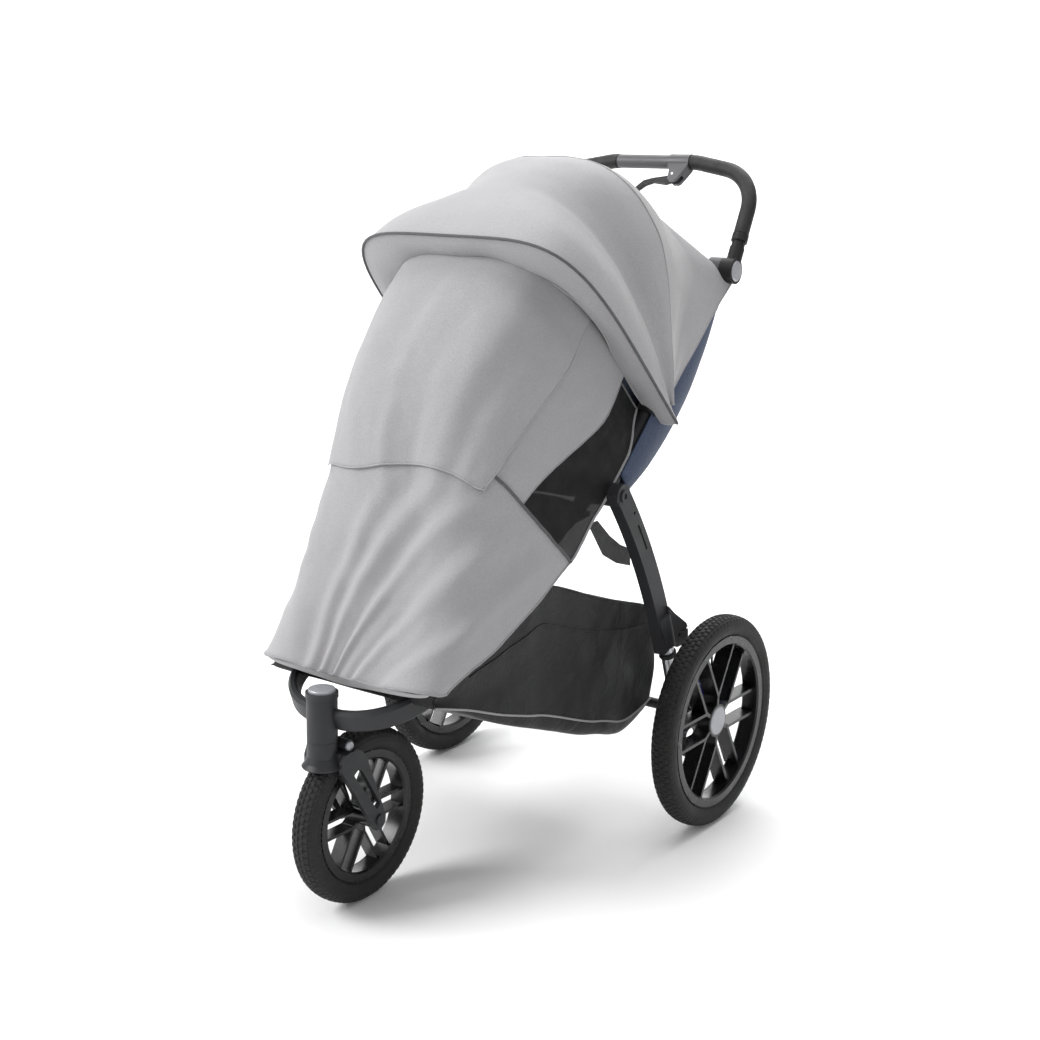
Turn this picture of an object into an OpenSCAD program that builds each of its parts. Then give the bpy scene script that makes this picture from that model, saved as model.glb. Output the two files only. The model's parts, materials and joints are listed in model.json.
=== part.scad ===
// Three-wheeled jogging stroller with a canopy and an all-round sun and wind cover.
// Millimetres. +Z up, the stroller rolls towards -Y, +X is its left-hand side.
// The origin is on the floor, in the middle of the whole stroller.

/* [Wheels] */
// Outer diameter of the two rear tyres
rear_wheel_d = 400; // [396:1:404]
// Outer diameter of the front tyre
front_wheel_d = 300; // [296:1:302]
// Distance between the centre planes of the rear wheels
track = 624; // [620:1:640]
// Distance from the front axle to the rear axle
wheelbase = 640; // [636:1:650]
// Width of the tyres
tyre_w = 46; // [40:1:48]
// Pairs of spoke blades in a wheel
spoke_pairs = 6; // [5:1:7]
// Diameter of the rear brake discs
disc_d = 160; // [150:1:164]

/* [Frame] */
// Height of the fold hinge above the floor
fold_z = 653; // [650:1:656]
// Outer diameter of the upper and lower frame tubes
tube_d = 27; // [24:0.5:27]
// Distance that the rear suspension travels
suspension_travel = 18; // [10:1:20]
// Outer diameter of the head tube
head_d = 50; // [48:1:54]
// Distance from the swivel axis back to the front axle
trail = 90; // [86:1:92]

/* [Handlebar] */
// Outer diameter of the padded grip
grip_d = 29; // [27:0.5:31]
// Height of the handlebar above its pivots, along its own slope
bar_rise = 217; // [210:1:222]
// Slope of the handlebar above the horizontal
bar_slope = 63.4; // [60:0.2:66]

/* [Soft goods] */
// Half of the canopy's width
canopy_half_w = 248; // [246:1:250]
// Distance from the canopy pivots to the front rim
canopy_r = 447; // [444:1:450]
// Width of the band that hangs down inside the rim
lip_w = 43; // [36:1:46]
// Thickness of the cloth solids
cloth_t = 3; // [2:0.5:3]
// Half of the basket's width
basket_half_w = 205; // [190:1:207]

/* [Hidden] */
$fn = 64;

// Materials, as seen
dark_grey = "#36373a";
black = "#1c1c1d";
silver = "#b9bbc0";
cover_grey = "#c2c1c4";
seat_blue = "#3e4963";
rubber = "#2a2a2b";
caliper_blue = "#14329b";

// Running clearances
run = 0.06;
wall = 2;

// Side-view points are [y, z]
rear_axle_y = 266;
rear_axle_p = [rear_axle_y, rear_wheel_d / 2];
front_axle_p = [rear_axle_y - wheelbase, front_wheel_d / 2];
swivel_y = front_axle_p[0] - trail;
fold_p = [42, fold_z];
hub_p = [411, 1018];
foot_p = [-345, 395];
canopy_p = [181, 785];
recline_p = [112, 662];
backrest_top_p = [351, 825];
knuckle_p = [200, 325];
beam_p = [287, 196];

// Places across the stroller, measured from its middle plane
lower_x_top = 171;
lower_x_foot = 133;
upper_x = 200;
leg_x = 227;
leg_t = 22;
knuckle_x = 248;
hub_in_x = 187;
hub_split_x = 213.5;
hub_out_x = 239;
wheel_x = track / 2;
seat_half_w = 138;

upper_len = norm(hub_p - fold_p);
upper_angle = atan2(hub_p[1] - fold_p[1], hub_p[0] - fold_p[0]);
stanchion_tilt = 20.9;   // lean of the suspension axis from the vertical
stanchion_dir = [sin(stanchion_tilt), -cos(stanchion_tilt)];
stanchion_r = 13;
fold_pin_r = 6;
stub_r = 8;
hub_r = 24;

// ---------- helpers ----------

function polar(r, a) = [r * cos(a), r * sin(a)];
function lerp(a, b, t) = a + (b - a) * t;
function on_upper(along, perp) =
    fold_p + along * polar(1, upper_angle) + perp * polar(1, upper_angle - 90);

// A cylinder along X between x0 and x1
module across(x0, x1, r, p) {
    translate([x0, p[0], p[1]]) rotate([0, 90, 0]) cylinder(r = r, h = x1 - x0);
}

// A plate in the side view, from x0 to x1
module side_plate(x0, x1) {
    translate([x0, 0, 0]) rotate([90, 0, 90]) linear_extrude(x1 - x0) children();
}

// A straight round bar between two points
module rod(a, b, r) {
    d = b - a;
    translate(a) rotate([0, acos(d[2] / norm(d)), atan2(d[1], d[0])])
        cylinder(r = r, h = norm(d));
}

// A straight hollow bar between two points
module pipe(a, b, r, t = wall) {
    e = (b - a) / norm(b - a);
    difference() {
        rod(a, b, r);
        rod(a - e, b + e, r - t);
    }
}

module on_side(side) {
    if (side < 0) mirror([1, 0, 0]) children();
    else children();
}

module both_sides() {
    children();
    mirror([1, 0, 0]) children();
}

// Puts a shape drawn about the X axis at a side-view point
module at(p, x = 0) {
    translate([x, p[0], p[1]]) children();
}

// ---------- cloth solids ----------
// A cloth row is [base, crown, half width, squareness, lift]: an arch across the stroller
// that stands on the side-view point base and reaches the side-view point crown.

function arch_radius(w, r, n, a) =
    pow(pow(abs(cos(a)) / w, n) + pow(abs(sin(a)) / r, n), -1 / n);

function arch_point(row, a, inset) =
    let (span = norm(row[1] - row[0]),
         dir = (row[1] - row[0]) / span,
         rho = arch_radius(row[2] - inset, span - inset, row[3], a),
         p = row[0] + dir * rho * sin(a) + [-dir[1], dir[0]] * -row[4] * (inset > 0 ? 1 : 0))
    [rho * cos(a), p[0], p[1]];

// A closed sheet over cloth rows, from angle a0 to a1 of each arch
module arch_sheet(rows, a0, a1, steps, t = cloth_t) {
    m = len(rows);
    k = steps + 1;
    outer = [for (row = rows, j = [0:steps]) arch_point(row, lerp(a0, a1, j / steps), 0)];
    inner = [for (row = rows, j = [0:steps]) arch_point(row, lerp(a0, a1, j / steps), t)];
    o = len(outer);
    faces = concat(
        [for (i = [0:m - 2], j = [0:steps - 1], h = [0, 1])
            h == 0 ? [i * k + j, i * k + j + 1, (i + 1) * k + j + 1]
                   : [i * k + j, (i + 1) * k + j + 1, (i + 1) * k + j]],
        [for (i = [0:m - 2], j = [0:steps - 1], h = [0, 1])
            h == 0 ? [o + i * k + j, o + (i + 1) * k + j + 1, o + i * k + j + 1]
                   : [o + i * k + j, o + (i + 1) * k + j, o + (i + 1) * k + j + 1]],
        [for (j = [0:steps - 1], h = [0, 1])
            h == 0 ? [j, o + j + 1, j + 1] : [j, o + j, o + j + 1]],
        [for (j = [0:steps - 1], h = [0, 1], e = [(m - 1) * k])
            h == 0 ? [e + j, e + j + 1, o + e + j + 1] : [e + j, o + e + j + 1, o + e + j]],
        [for (i = [0:m - 2], h = [0, 1])
            h == 0 ? [i * k, (i + 1) * k, o + (i + 1) * k] : [i * k, o + (i + 1) * k, o + i * k]],
        [for (i = [0:m - 2], h = [0, 1], e = [steps])
            h == 0 ? [i * k + e, o + (i + 1) * k + e, (i + 1) * k + e]
                   : [i * k + e, o + i * k + e, o + (i + 1) * k + e]]);
    polyhedron(concat(outer, inner), faces);
}

// ---------- front frame ----------

head_bottom = 307;
head_top = 388;
steerer_r = 14;

module head_tube() {
    color(dark_grey) at([swivel_y, 0]) difference() {
        union() {
            translate([0, 0, head_bottom]) cylinder(d = head_d, h = head_top - head_bottom);
            translate([0, 0, head_top - 9]) cylinder(d = head_d + 3, h = 9);
        }
        translate([0, 0, head_bottom - 1]) cylinder(r = steerer_r + run, h = 82);
    }
}

module head_cap() {
    color(silver) translate([0, swivel_y, head_top]) rotate_extrude()
        polygon([[0, 0], [22, 0], [22, 4], [21, 5.2], [0, 5.6]]);
}

// Each arm is a quarter ring that leans up towards the back
arm_r = 113;
arm_z = 346;
arm_h = 36;
arm_t = 15;
arm_x = 18;
arm_tilt = 20;

module front_arm(side) {
    color(dark_grey) on_side(side) difference() {
        translate([arm_x, swivel_y + 16 + arm_r, arm_z]) rotate([arm_tilt, 0, 0])
            translate([0, 0, arm_r * sin(arm_tilt)]) rotate(-90) rotate_extrude(angle = 90)
                translate([arm_r, 0]) arm_section();
        translate([0, swivel_y, 0]) cylinder(d = head_d + 0.4, h = 600);
        translate([-60, swivel_y - 100, 300]) cube([60, 200, 200]);
        rod(lower_top, lower_foot + 2 * lower_dir, tube_d / 2 + 0.05);
    }
}

module arm_section() {
    polygon([[-arm_t / 2, -arm_h / 2 + 4], [-arm_t / 2 + 3, -arm_h / 2], [arm_t / 2 - 3, -arm_h / 2],
             [arm_t / 2, -arm_h / 2 + 4], [arm_t / 2, arm_h / 2 - 5], [arm_t / 2 - 5, arm_h / 2],
             [-arm_t / 2 + 3, arm_h / 2], [-arm_t / 2, arm_h / 2 - 3]]);
}

lower_top = [lower_x_top, fold_p[0], fold_p[1]];
lower_foot = [lower_x_foot, foot_p[0], foot_p[1]];
lower_dir = (lower_foot - lower_top) / norm(lower_foot - lower_top);

module lower_tube(side) {
    color(dark_grey) on_side(side) {
        difference() {
            union() {
                pipe(lower_top + 8 * lower_dir, lower_foot, tube_d / 2);
                across(lower_x_top - tube_d / 2, lower_x_top + tube_d / 2, 21, fold_p);
            }
            across(lower_x_top - 20, lower_x_top + 20, fold_pin_r, fold_p);
            across(lower_x_top + tube_d / 2, lower_x_top + 40, 40, fold_p);
        }
    }
}

module foot_bar() {
    color(dark_grey) across(-122.8, 122.8, 9, foot_p + [-7.8, -5]);
}

module footrest() {
    color(black) translate([0, 0, foot_p[1] + 5]) linear_extrude(6)
        polygon([for (a = [0:10:180]) [150 * cos(a), foot_p[0] - 11 - 68 * pow(sin(a), 0.5)]]);
}

module fold_pins() {
    color(silver) both_sides() {
        across(lower_x_top - 16, leg_x + leg_t / 2 + 0.8, fold_pin_r, fold_p);
        difference() {
            across(leg_x + leg_t / 2 + 0.8, leg_x + leg_t / 2 + 3.4, 11, fold_p);
            across(leg_x + leg_t / 2 + 1.4, leg_x + leg_t / 2 + 6, 5, fold_p);
        }
    }
}

// ---------- seat ----------

module seat_pan() {
    color(black) side_plate(-seat_half_w, seat_half_w)
        polygon([[92, 604], [-195, 566], [-200, 560], [-195, 558], [92, 596]]);
}

module seat_cushion() {
    color(seat_blue) side_plate(-seat_half_w + 4, seat_half_w - 4)
        polygon([[88, 604], [-192, 567], [-206, 580], [-196, 594], [-90, 602], [78, 634]]);
}

module harness_buckle() {
    color(black) translate([0, -70, 613]) rotate([8, 0, 0]) difference() {
        translate([-28, -28, 0]) cube([56, 56, 16]);
        translate([0, 0, 12]) cylinder(r = 12, h = 5);
    }
}

module seat_strap() {
    color(black) both_sides() side_plate(188, 190.5)
        polygon([[8, 602], [36, 604], [76, 570], [112, 547], [146, 533], [150, 500], [104, 514], [58, 538]]);
}

// ---------- basket ----------

basket_split = -322;

function basket_profile(i) = [
    [-395 + i, 376 + i], [-319, 345 + i], [-228, 303 + i], [-101, 256 + i], [5, 215 + i],
    [128 - i, 178 + i], [200 - i, 197 + i], [224 - i, 220 + i], [232 - i, 300], [210 - i, 404],
    [204 - i, 412 + i * 20], [-144, 524 + i * 20], [-395 + i, 400 + i * 20]];

function basket_plan(i) = [
    [-basket_half_w + i, 240], [-basket_half_w + i, -170], [-182 + i, -400],
    [182 - i, -400], [basket_half_w - i, -170], [basket_half_w - i, 240]];

module basket_form(i) {
    intersection() {
        side_plate(-basket_half_w + i, basket_half_w - i) polygon(basket_profile(i));
        translate([0, 0, 100]) linear_extrude(600) polygon(basket_plan(i));
    }
}

module basket() {
    color(black) difference() {
        basket_form(0);
        basket_form(cloth_t);
        translate([-152, -420, 300]) cube([304, 420 + basket_split, 300]);
    }
}

// ---------- cover ----------
// The cover hangs from the inside of the canopy rim to the foot end.

rim_angle = 136.4;
cover_w = 196;
cover_r = 396;
foot_half_w = 170;
cover_steps = 12;

// Side hem and front crown of the cover, as t goes from the rim to the foot
function hem(t) =
    t < 0.45 ? lerp([158, 804], [-86, 576], t / 0.45)
             : lerp([-86, 576], [-384, 402], (t - 0.45) / 0.55);
function crown(t) =
    lerp(canopy_p + polar(cover_r, rim_angle), [-436, 408], t)
    + [-0.89, 0.45] * (22 * sin(180 * t) + 28 * sin(360 * t));
function cover_row(t) =
    [hem(t), crown(t), lerp(cover_w, foot_half_w, t * t), lerp(3.6, 4.6, t), 0];

module cover_part(t0, t1, rows, a0, a1, steps) {
    color(cover_grey) arch_sheet([for (i = [0:rows]) cover_row(lerp(t0, t1, i / rows))],
                                 a0, a1, steps);
}

flap_end = 0.52;
window_top = 0.03;
window_angle = 46;

module cover_flap() {
    cover_part(0, flap_end, 12, window_angle, 180 - window_angle, 16);
}

module cover_lower() {
    cover_part(flap_end, 1, 12, 4, 176, 28);
}

module cover_window(side) {
    color(black) on_side(side)
        arch_sheet([for (i = [0:10]) cover_row(lerp(window_top, flap_end, i / 10))],
                   4, window_angle - 0.4, 10);
}

// ---------- upper frame ----------

module upper_tube(side) {
    e = [0, cos(upper_angle), sin(upper_angle)];
    base = [upper_x, fold_p[0], fold_p[1]];
    color(dark_grey) on_side(side) difference() {
        union() {
            pipe(base + 8 * e, base + (upper_len - hub_r - 0.2) * e, tube_d / 2);
            across(upper_x - tube_d / 2, upper_x + tube_d / 2, 21, fold_p);
        }
        across(upper_x - 30, upper_x + 30, fold_pin_r + run, fold_p);
        across(upper_x - 40, upper_x - tube_d / 2, 60, fold_p);
        across(upper_x - 30, upper_x + 30, hub_r + 0.1, hub_p);
    }
}

module handle_hubs() {
    color("#55565a") both_sides() difference() {
        across(hub_in_x, hub_split_x - 0.3, hub_r, hub_p);
        across(hub_in_x + 8, hub_split_x + 1, 7 + run, hub_p);
    }
}

// Clip round the upper tube with the pin on which the canopy bows turn
module canopy_pivots() {
    e = [0, cos(upper_angle), sin(upper_angle)];
    clip = on_upper(192.7, 0);
    c = [upper_x, clip[0], clip[1]];
    color(black) both_sides() difference() {
        union() {
            rod(c - 20 * e, c + 20 * e, tube_d / 2 + 5);
            across(upper_x + 4, bow_x - 0.5, 13, canopy_p);
            across(upper_x + 4, front_bow_x + bow_t + 1, 4, canopy_p);
            across(front_bow_x + bow_t + 0.4, front_bow_x + bow_t + 2.4, 7, canopy_p);
        }
        rod(c - 60 * e, c + 60 * e, tube_d / 2 + 0.2);
    }
}

// Depth of the seat's shell behind the upper tubes
function seat_depth(t) = 158 * pow(sin(180 * pow(t, 0.8) * 0.985), 0.62) * (0.62 + 0.42 * t);
function seat_row(t) =
    let (along = lerp(40, 462, t))
    [on_upper(along, 20), on_upper(along, 18 + seat_depth(lerp(0.1, 0.93, t))), 194, 3.2, 0];

module seat_shell() {
    color(seat_blue) arch_sheet([for (i = [0:12]) seat_row(i / 12)], 0, 180, 24);
}

// ---------- canopy ----------

bow_x = 229.5;
bow_t = 5;
front_bow_x = 235.5;
middle_angle = 95;
middle_bow_r = 430;

rear_angle = 52;
rim_base = canopy_p + polar(8, rim_angle + 90);

// The cloth sags between its bows; from the front rim at 0 to the rear edge at 1
canopy_bulge = [[0, 0], [0.25, 15], [0.5, 37], [0.75, 25], [1, 0]];
canopy_widths = [[0, canopy_half_w], [0.5, canopy_half_w - 3], [0.75, 235], [1, 219]];
canopy_squareness = [[0, 3.7], [0.25, 2.3], [0.5, 3], [0.75, 2.2], [1, 6]];

// Canopy row that leans at an angle about the pivots
function canopy_row(a) =
    let (t = (rim_angle - a) / (rim_angle - rear_angle),
         r = lerp(canopy_r, 352, t) + lookup(t, canopy_bulge),
         w = lookup(t, canopy_widths))
    [canopy_p, canopy_p + polar(r, a), w, lookup(t, canopy_squareness), 0];
function lip_row() =
    [rim_base, rim_base + polar(canopy_r - lip_w, rim_angle + 0.6), canopy_half_w - lip_w, 3.7, 3];

module canopy_shell() {
    rim = [rim_base, rim_base + polar(canopy_r, rim_angle), canopy_half_w, 3.7, 3];
    color(cover_grey) arch_sheet(concat([lip_row(), rim],
        [for (i = [1:12]) canopy_row(lerp(rim_angle, rear_angle, i / 12))]), 8, 172, 30);
}

// A flat bow in the leaning plane through the pivots
module bow(x, r, a, n) {
    color(black) translate([0, canopy_p[0], canopy_p[1]]) rotate([a - 90, 0, 0]) {
        rotate([90, 0, 0]) translate([0, 0, -4]) linear_extrude(8) intersection() {
            difference() {
                polygon([for (k = [0:3:180]) arch_radius(x + bow_t, r, n, k) * [cos(k), sin(k)]]);
                polygon([for (k = [0:3:180])
                    arch_radius(x, r - 9, n, k) * [cos(k), sin(k)] - [0, k == 0 || k == 180 ? 1 : 0]]);
            }
            translate([-300, 10]) square([600, 500]);
        }
        both_sides() difference() {
            union() {
                translate([x, 0, 0]) rotate([0, 90, 0]) cylinder(r = 9, h = bow_t);
                translate([x, -4, 0]) cube([bow_t, 8, 12]);
            }
            translate([x - 1, 0, 0]) rotate([0, 90, 0]) cylinder(r = 4 + run, h = bow_t + 2);
        }
    }
}

module canopy_bow_front() {
    bow(front_bow_x, canopy_r - 8, rim_angle - 1.2, 3.3);
}

module canopy_bow_middle() {
    bow(bow_x, middle_bow_r, middle_angle, 2.8);
}

// ---------- backrest ----------

module on_backrest() {
    slope = atan2(backrest_top_p[1] - recline_p[1], backrest_top_p[0] - recline_p[0]);
    at(recline_p) rotate([slope, 0, 0]) children();
}

backrest_len = norm(backrest_top_p - recline_p);

module backrest_board() {
    color(black) on_backrest() difference() {
        union() {
            translate([-140, 14, -3]) cube([280, backrest_len - 14, 6]);
            both_sides() translate([132, 0, 0]) rotate([0, 90, 0]) cylinder(r = 8, h = 12);
            both_sides() translate([132, 0, -3]) cube([8, 16, 6]);
        }
        both_sides() translate([120, 0, 0]) rotate([0, 90, 0]) cylinder(r = 3, h = 30);
    }
}

module backrest_pad() {
    color(seat_blue) on_backrest() rotate([90, 0, 90]) translate([0, 0, -136])
        linear_extrude(272) polygon([[22, 3.2], [16, 16], [26, 28], [120, 31], [backrest_len - 14, 28],
            [backrest_len - 2, 14], [backrest_len - 6, 3.2]]);
}

module shoulder_straps() {
    color(black) on_backrest() both_sides()
        translate([42, 60, 31.6]) cube([30, backrest_len - 110, 2.4]);
}

// ---------- handlebar ----------
// Drawn in its own plane: x across, z up the slope from the pivots.

bar_r = 11;
bar_leg_x = 228;
bar_bend_r = 84;
bar_dip = 11;      // slope of the bar between its middle and its bends
bar_mid = 82;      // half of the straight middle
bar_blend_r = 120;
bar_drop = bar_blend_r * (1 - cos(bar_dip));
bar_blend_x = bar_mid + bar_blend_r * sin(bar_dip);
bar_bend_x = bar_leg_x - bar_bend_r * (1 - sin(bar_dip));
bar_bend_z = bar_rise - bar_drop - (bar_bend_x - bar_blend_x) * tan(bar_dip);
bar_leg_z = bar_bend_z - bar_bend_r * cos(bar_dip);

module on_bar() {
    at(hub_p) rotate([bar_slope - 90, 0, 0]) children();
}

// Ring sections along both halves of the bar's line, in stretches a hair apart
module bar_rings(r_out, r_in, from_z) {
    hair = 0.05;
    module ring() {
        difference() {
            circle(r = r_out);
            circle(r = r_in);
        }
    }
    module bend(c, big, a0, a1) {
        translate([c[0], 0, c[1]]) rotate([90, 0, 0]) rotate(a0) rotate_extrude(angle = a1 - a0)
            translate([big, 0]) ring();
    }
    on_bar() both_sides() {
        translate([bar_leg_x, 0, from_z]) linear_extrude(bar_leg_z - from_z - hair) ring();
        bend([bar_leg_x - bar_bend_r, bar_leg_z], bar_bend_r, 0, 90 - bar_dip);
        translate([bar_blend_x, 0, bar_rise - bar_drop]) rotate([0, 90 + bar_dip, 0])
            translate([0, 0, hair])
            linear_extrude((bar_bend_x - bar_blend_x) / cos(bar_dip) - 2 * hair) ring();
        bend([bar_mid, bar_rise - bar_blend_r], bar_blend_r, 90 - bar_dip, 90 - hair);
    }
}

module along_middle(r_out, r_in) {
    on_bar() translate([-bar_mid, 0, bar_rise]) rotate([0, 90, 0]) difference() {
        cylinder(r = r_out, h = 2 * bar_mid);
        translate([0, 0, -1]) cylinder(r = r_in, h = 2 * bar_mid + 2);
    }
}

module handlebar_tube() {
    color(dark_grey) {
        bar_rings(bar_r, bar_r - wall, 40);
        along_middle(bar_r, bar_r - wall);
    }
}

module grips() {
    color(black) bar_rings(grip_d / 2, bar_r, 72.2);
}

module bar_sleeve() {
    color("#5d5e62") along_middle(13.5, bar_r);
}

module handle_knuckles() {
    color(black) on_bar() both_sides() difference() {
        union() {
            translate([hub_split_x, 0, 0]) rotate([0, 90, 0])
                cylinder(r = hub_r, h = hub_out_x - hub_split_x);
            translate([bar_leg_x, 0, 0]) cylinder(r = 14, h = 46);
            translate([bar_leg_x, 0, 46]) cylinder(r = 12.5, h = 12);
            translate([bar_leg_x, 0, 58]) cylinder(r = grip_d / 2 + 1, h = 14);
        }
        translate([bar_leg_x, 0, 40]) cylinder(r = bar_r, h = 60);
        translate([hub_split_x + 14, 0, 0]) rotate([0, 90, 0]) cylinder(r = 19.1, h = 40);
    }
}

module hub_button(side) {
    color(silver) on_bar() on_side(side) translate([hub_out_x - 8, 0, 0]) rotate([0, 90, 0])
        rotate_extrude() polygon([[0, 0], [19, 0], [19, 9], [17, 11], [0, 11.6]]);
}

lever_pivot = [52, -30];   // across, and below the middle of the bar

module lever_housing() {
    color("#5d5e62") on_bar() translate([0, 0, bar_rise]) difference() {
        union() {
            translate([36, 0, 0]) rotate([0, 90, 0]) cylinder(r = 15.5, h = 45);
            translate([0, 13, 0]) rotate([90, 0, 0]) linear_extrude(26) polygon([[36, -4], [81, -4], [80, -14],
                [64, -41], [59, -44], [48, -44], [44, -40], [43, -22], [37, -15]]);
        }
        translate([30, -5.5, -50]) cube([40, 11, 34]);
        translate([30, 0, 0]) rotate([0, 90, 0]) cylinder(r = 13.5, h = 60);
        translate([lever_pivot[0], -20, lever_pivot[1]]) rotate([-90, 0, 0]) cylinder(r = 2.5, h = 40);
    }
}

module lever_pin() {
    color(silver) on_bar() translate([lever_pivot[0], -13, bar_rise + lever_pivot[1]])
        rotate([-90, 0, 0]) cylinder(r = 2.5, h = 26);
}

module brake_lever() {
    color(black) on_bar() translate([0, 5, bar_rise]) rotate([90, 0, 0]) linear_extrude(10)
        difference() {
            union() {
                polygon([[46.5, -30], [57.5, -30], [55, -40], [36, -47], [8, -44], [-8, -50], [-24, -64],
                         [-30, -60], [-12, -42], [8, -36]]);
                translate(lever_pivot) circle(r = 6.5);
            }
            translate(lever_pivot) circle(r = 2.5 + run);
        }
}

// ---------- rear legs and suspension ----------

leg_sagitta = 16;
leg_bow = 40;            // width of the leg in the side view
leg_foot_p = [186, 344];
leg_splay = 3.8;
leg_chord = norm(leg_foot_p - fold_p);
leg_ring_r = leg_chord * leg_chord / (8 * leg_sagitta) + leg_sagitta / 2;
leg_ring_p = (leg_foot_p + fold_p) / 2
    + (leg_ring_r - leg_sagitta) * [leg_foot_p[1] - fold_p[1], fold_p[0] - leg_foot_p[0]] / leg_chord;
leg_a0 = atan2(leg_foot_p[1] - leg_ring_p[1], leg_foot_p[0] - leg_ring_p[0]);
leg_a1 = atan2(fold_p[1] - leg_ring_p[1], fold_p[0] - leg_ring_p[0]);
leg_end = -30;           // these four are distances down the suspension axis
collar_s = -14;
stanchion_top = -66;
bumper_top = stanchion_top - suspension_travel - 4;

function on_stanchion(s) =
    [knuckle_x, knuckle_p[0] + s * stanchion_dir[0], knuckle_p[1] + s * stanchion_dir[1]];

// Curved stretch of the leg, from angle a0 to a1 of its ring
module leg_band(x0, x1, in_r, out_r, a0, a1) {
    translate([0, leg_ring_p[0], leg_ring_p[1]]) rotate([90, 0, 90]) rotate(a0)
        rotate_extrude(angle = a1 - a0, $fn = 360) translate([0, x0])
            translate([in_r, 0]) square([out_r - in_r, x1 - x0]);
}

module splayed() {
    translate([leg_x, fold_p[0], fold_p[1]]) rotate([0, -leg_splay, 0])
        translate([-leg_x, -fold_p[0], -fold_p[1]]) children();
}

module rear_leg(side) {
    x0 = leg_x - leg_t / 2;
    x1 = leg_x + leg_t / 2;
    color(dark_grey) on_side(side) difference() {
        union() {
            across(x0, x1, leg_bow / 2 + 1, fold_p);
            splayed() leg_band(x0, x1, leg_ring_r - leg_bow / 2, leg_ring_r + leg_bow / 2,
                               leg_a0, leg_a1);
            rod(on_stanchion(bumper_top - 6), on_stanchion(leg_end), 17.5);
            side_plate(knuckle_x - 9, knuckle_x + 11) polygon([[176, 430], [199, 412], [243, 384],
                [250, 374], [252, 352], [240, 344], [212, 344], [180, 360]]);
        }
        rod(on_stanchion(bumper_top), on_stanchion(0), stanchion_r + run);
        rod(on_stanchion(collar_s - 0.2), on_stanchion(20), 17);
        across(x0 - 1, x1 + 1, fold_pin_r + run, fold_p);
        splayed() {
            leg_band(x1 - 2.5, x1 + 10, leg_ring_r + 2, leg_ring_r + 7, leg_a1 - 8, leg_a1 - 4.6);
            across(x1 - 3, x1 + 10, 3, fold_p + [34, -36]);
        }
        across(knuckle_x + 7, knuckle_x + 20, 3.5, [218, 366]);
        side_plate(knuckle_x + 8, knuckle_x + 20)
            polygon([[226, 375], [260, 375], [260, 371], [226, 371]]);
    }
}

module leg_collars() {
    color(black) both_sides() difference() {
        rod(on_stanchion(collar_s), on_stanchion(collar_s + 8), 16.5);
        rod(on_stanchion(collar_s - 4), on_stanchion(collar_s + 12), stanchion_r + 0.3);
    }
}

module suspension_bumpers() {
    color("#8d8f3a") both_sides() difference() {
        rod(on_stanchion(bumper_top + 0.1), on_stanchion(stanchion_top - 0.1), stanchion_r - 2);
        rod(on_stanchion(bumper_top), on_stanchion(stanchion_top), 4);
    }
}

// ---------- rear axle ----------

carrier_s = 112;   // how far down the stanchion the carrier starts

module stanchions() {
    color(silver) both_sides() pipe(on_stanchion(stanchion_top), on_stanchion(carrier_s), stanchion_r);
}

module rear_axle() {
    color(black) {
        across(-knuckle_x + 14, knuckle_x - 14, 10, beam_p);
        both_sides() {
            rod(on_stanchion(carrier_s + 0.1), on_stanchion(carrier_s + 30), 17);
            side_plate(knuckle_x - 14.5, knuckle_x + 14) polygon([[228, 210], [238, 176], [262, 168],
                [292, 172], [306, 190], [302, 212], [280, 230], [262, 226]]);
            across(knuckle_x + 13.9, wheel_x - 39, 14, rear_axle_p);
            side_plate(knuckle_x + 10, knuckle_x + 14) polygon([[262, 226], [300, 252], [318, 272],
                [340, 252], [328, 224], [306, 190]]);
            across(wheel_x - 39.1, wheel_x + 1, stub_r, rear_axle_p);
        }
    }
}

caliper_angle = 42;

module calipers() {
    color(caliper_blue) both_sides() at(rear_axle_p, knuckle_x + 14.2) rotate([caliper_angle, 0, 0])
        difference() {
            union() {
                translate([0, 52, -24]) cube([24, 36, 48]);
                translate([4, 84, -14]) cube([16, 12, 28]);
            }
            translate([8.3, 40, -30]) cube([8, 44, 60]);
        }
}

// The cable leaves the leg's tail and bends down to the caliper
module brake_cables() {
    color(black) both_sides() translate([knuckle_x + 20, 262, 288]) rotate([90, 0, 90])
        rotate(-8) rotate_extrude(angle = 98) translate([70, 0]) circle(r = 2.2, $fn = 24);
}

module parking_pedal() {
    color(black) difference() {
        union() {
            across(60, 118, 15, beam_p);
            side_plate(64, 114) polygon([beam_p + [4, 12], beam_p + [52, 34], beam_p + [58, 28],
                beam_p + [14, -6]]);
        }
        across(50, 130, 10 + run, beam_p);
    }
}

// ---------- wheels ----------

// Everything on a wheel is drawn about the X axis, with its centre plane at x = 0
module tyre(outer_r, rim_r, w) {
    shoulder = w / 2;
    color(rubber) rotate([0, 90, 0]) rotate_extrude($fn = 96) difference() {
        polygon([[rim_r, -shoulder + 8], [rim_r + 6, -shoulder + 3], [rim_r + 16, -shoulder],
                 [outer_r - 14, -shoulder + 1], [outer_r - 4, -shoulder + 9], [outer_r, -6],
                 [outer_r, 6], [outer_r - 4, shoulder - 9], [outer_r - 14, shoulder - 1],
                 [rim_r + 16, shoulder], [rim_r + 6, shoulder - 3], [rim_r, shoulder - 8]]);
        translate([(rim_r + outer_r) / 2 + 1, 0]) circle(r = (outer_r - rim_r) / 2 - 6);
    }
}

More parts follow.
